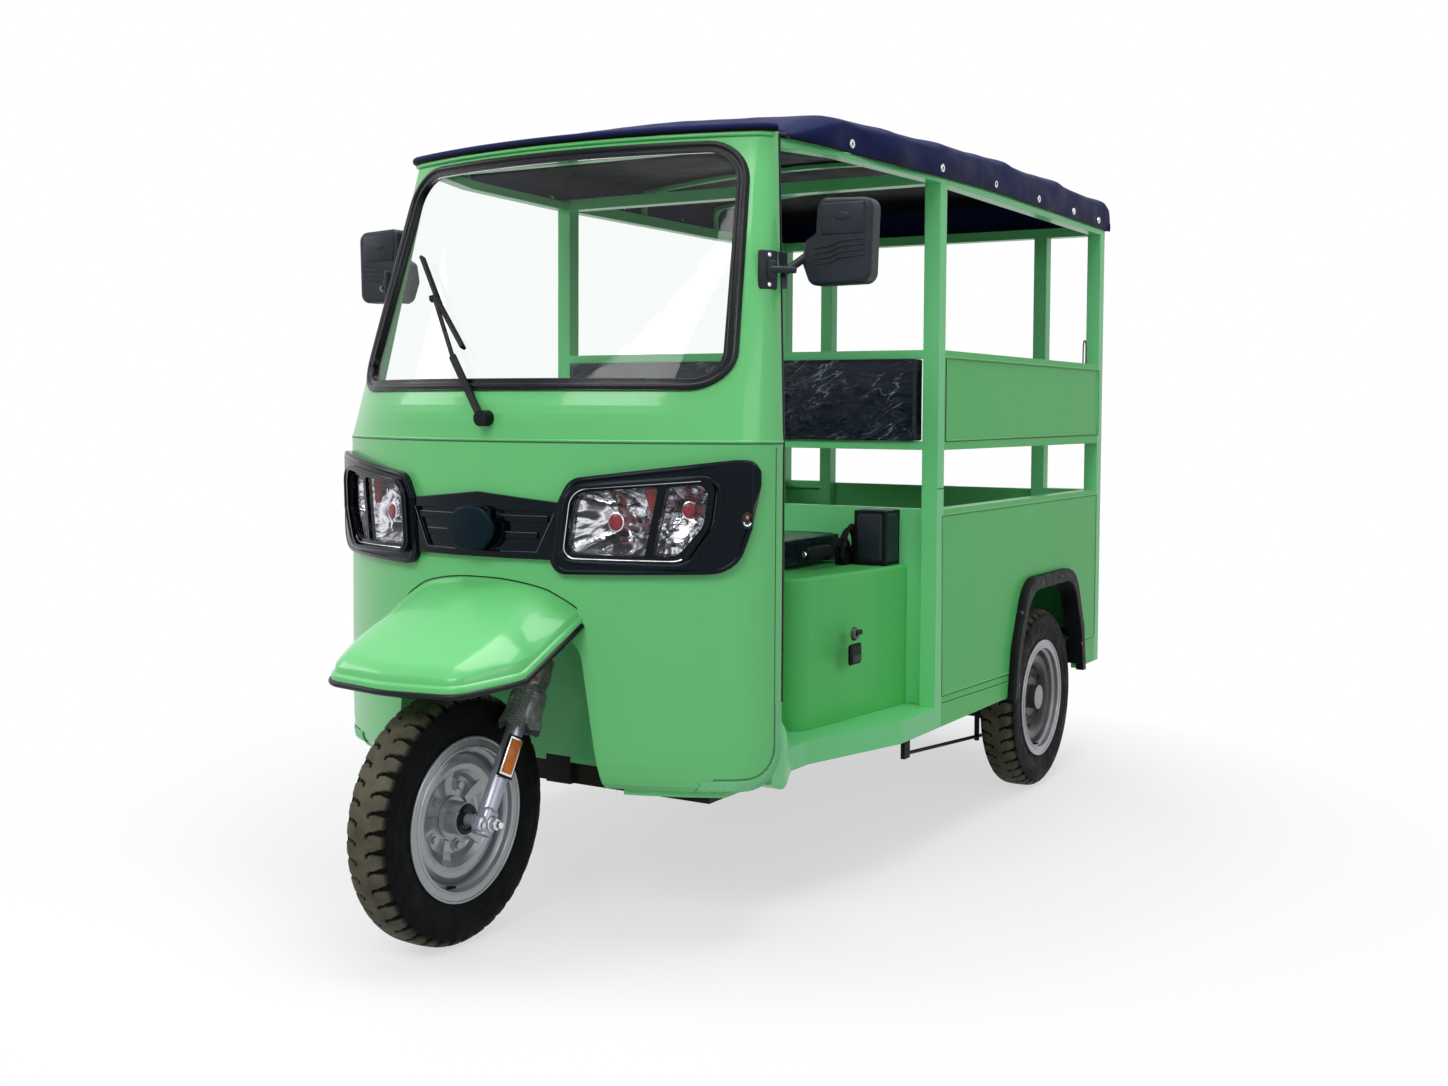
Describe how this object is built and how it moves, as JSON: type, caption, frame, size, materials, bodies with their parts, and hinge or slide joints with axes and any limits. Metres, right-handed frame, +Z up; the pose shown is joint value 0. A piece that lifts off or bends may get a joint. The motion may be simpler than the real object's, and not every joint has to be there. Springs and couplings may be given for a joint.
{
  "type": "auto rickshaw",
  "caption": "Three-wheeled electric passenger rickshaw: rounded driver's cab with windscreen, steered front wheel, open rear box with benches under a canvas roof.",
  "frame": {"origin": "on the ground under the middle of the vehicle's length, width and height box", "axes": "+X to the vehicle's own left, +Y to the rear, +Z up; the vehicle faces -Y"},
  "size_m": [1.4384, 2.79, 1.828],
  "materials": {
    "body_green": "gloss",
    "frame_green": "gloss",
    "black_steel": "satin",
    "silver_wheel": "gloss",
    "tyre_rubber": "matt",
    "seal_rubber": "matt",
    "screen_glass": "clear",
    "lens_clear": "clear",
    "fascia_black": "gloss",
    "lamp_chrome": "polished",
    "mirror_black": "matt",
    "black_plastic": "matt",
    "grip_rubber": "matt",
    "fork_steel": "polished",
    "sleeve_plastic": "cloudy",
    "navy_canvas": "woven",
    "navy_leather": "grained",
    "tail_lens": "clear",
    "battery_case": "matt",
    "checker_floor": "worn",
    "cast_drive": "rough"
  },
  "bodies": {
    "chassis": {"chassis_frame": "black_steel", "wheel_well": "frame_green", "cab_lower_panel": "body_green", "cab_upper_frame": "body_green", "windscreen_seal": "seal_rubber", "windscreen_glass": "screen_glass", "lamp_fascia": "fascia_black", "lamp_bowls": "lamp_chrome", "lamp_lenses": "lens_clear", "front_fender": "body_green", "fender_trim": "seal_rubber", "dash_panel": "black_plastic", "floor_pan": "frame_green", "cargo_floor": "checker_floor", "driver_seat_box": "frame_green", "driver_seat_cushion": "navy_leather", "battery_pack": "battery_case", "partition_panel": "frame_green", "front_backrest": "navy_leather", "mid_hoop": "frame_green", "rear_hoop": "frame_green", "body_side_left": "body_green", "body_side_right": "body_green", "arch_flares": "black_plastic", "side_backrests": "body_green", "roof_canopy": "navy_canvas", "roof_frame": "frame_green", "side_benches": "frame_green", "bench_cushions": "navy_leather", "door_hinges": "frame_green", "tail_lamps": "tail_lens", "rear_step": "black_steel", "mirror_left": "mirror_black", "mirror_right": "mirror_black", "wiper": "black_plastic", "driver_controls": "black_plastic", "brake_linkage": "black_steel", "rear_axle": "cast_drive", "leaf_springs": "black_steel"},
    "steering": {"fork": "fork_steel", "fork_sleeves": "sleeve_plastic", "handlebar": "black_plastic"},
    "front_wheel": {"front_rim": "silver_wheel", "front_tyre": "tyre_rubber"},
    "rear_left_wheel": {"rear_left_rim": "silver_wheel", "rear_left_tyre": "tyre_rubber"},
    "rear_right_wheel": {"rear_right_rim": "silver_wheel", "rear_right_tyre": "tyre_rubber"},
    "rear_door": {"rear_door": "body_green"}
  },
  "joints": [
    {"name": "steering_turn", "type": "hinge", "parent": "chassis", "child": "steering", "pos_m": [0, -1.09836, 0.242], "axis": [0, 0.5, 0.866], "range_deg": [-35, 35]},
    {"name": "front_wheel_spin", "type": "hinge", "parent": "steering", "child": "front_wheel", "pos_m": [0, -1.133, 0.262], "axis": [1, 0, 0], "continuous": true},
    {"name": "rear_left_spin", "type": "hinge", "parent": "chassis", "child": "rear_left_wheel", "pos_m": [0.536, 0.849, 0.262], "axis": [1, 0, 0], "continuous": true},
    {"name": "rear_right_spin", "type": "hinge", "parent": "chassis", "child": "rear_right_wheel", "pos_m": [-0.536, 0.849, 0.262], "axis": [1, 0, 0], "continuous": true},
    {"name": "rear_door_hinge", "type": "hinge", "parent": "chassis", "child": "rear_door", "pos_m": [0.36592, 1.384, 0.6], "axis": [0, 0, -1], "range_deg": [0, 95]}
  ]
}
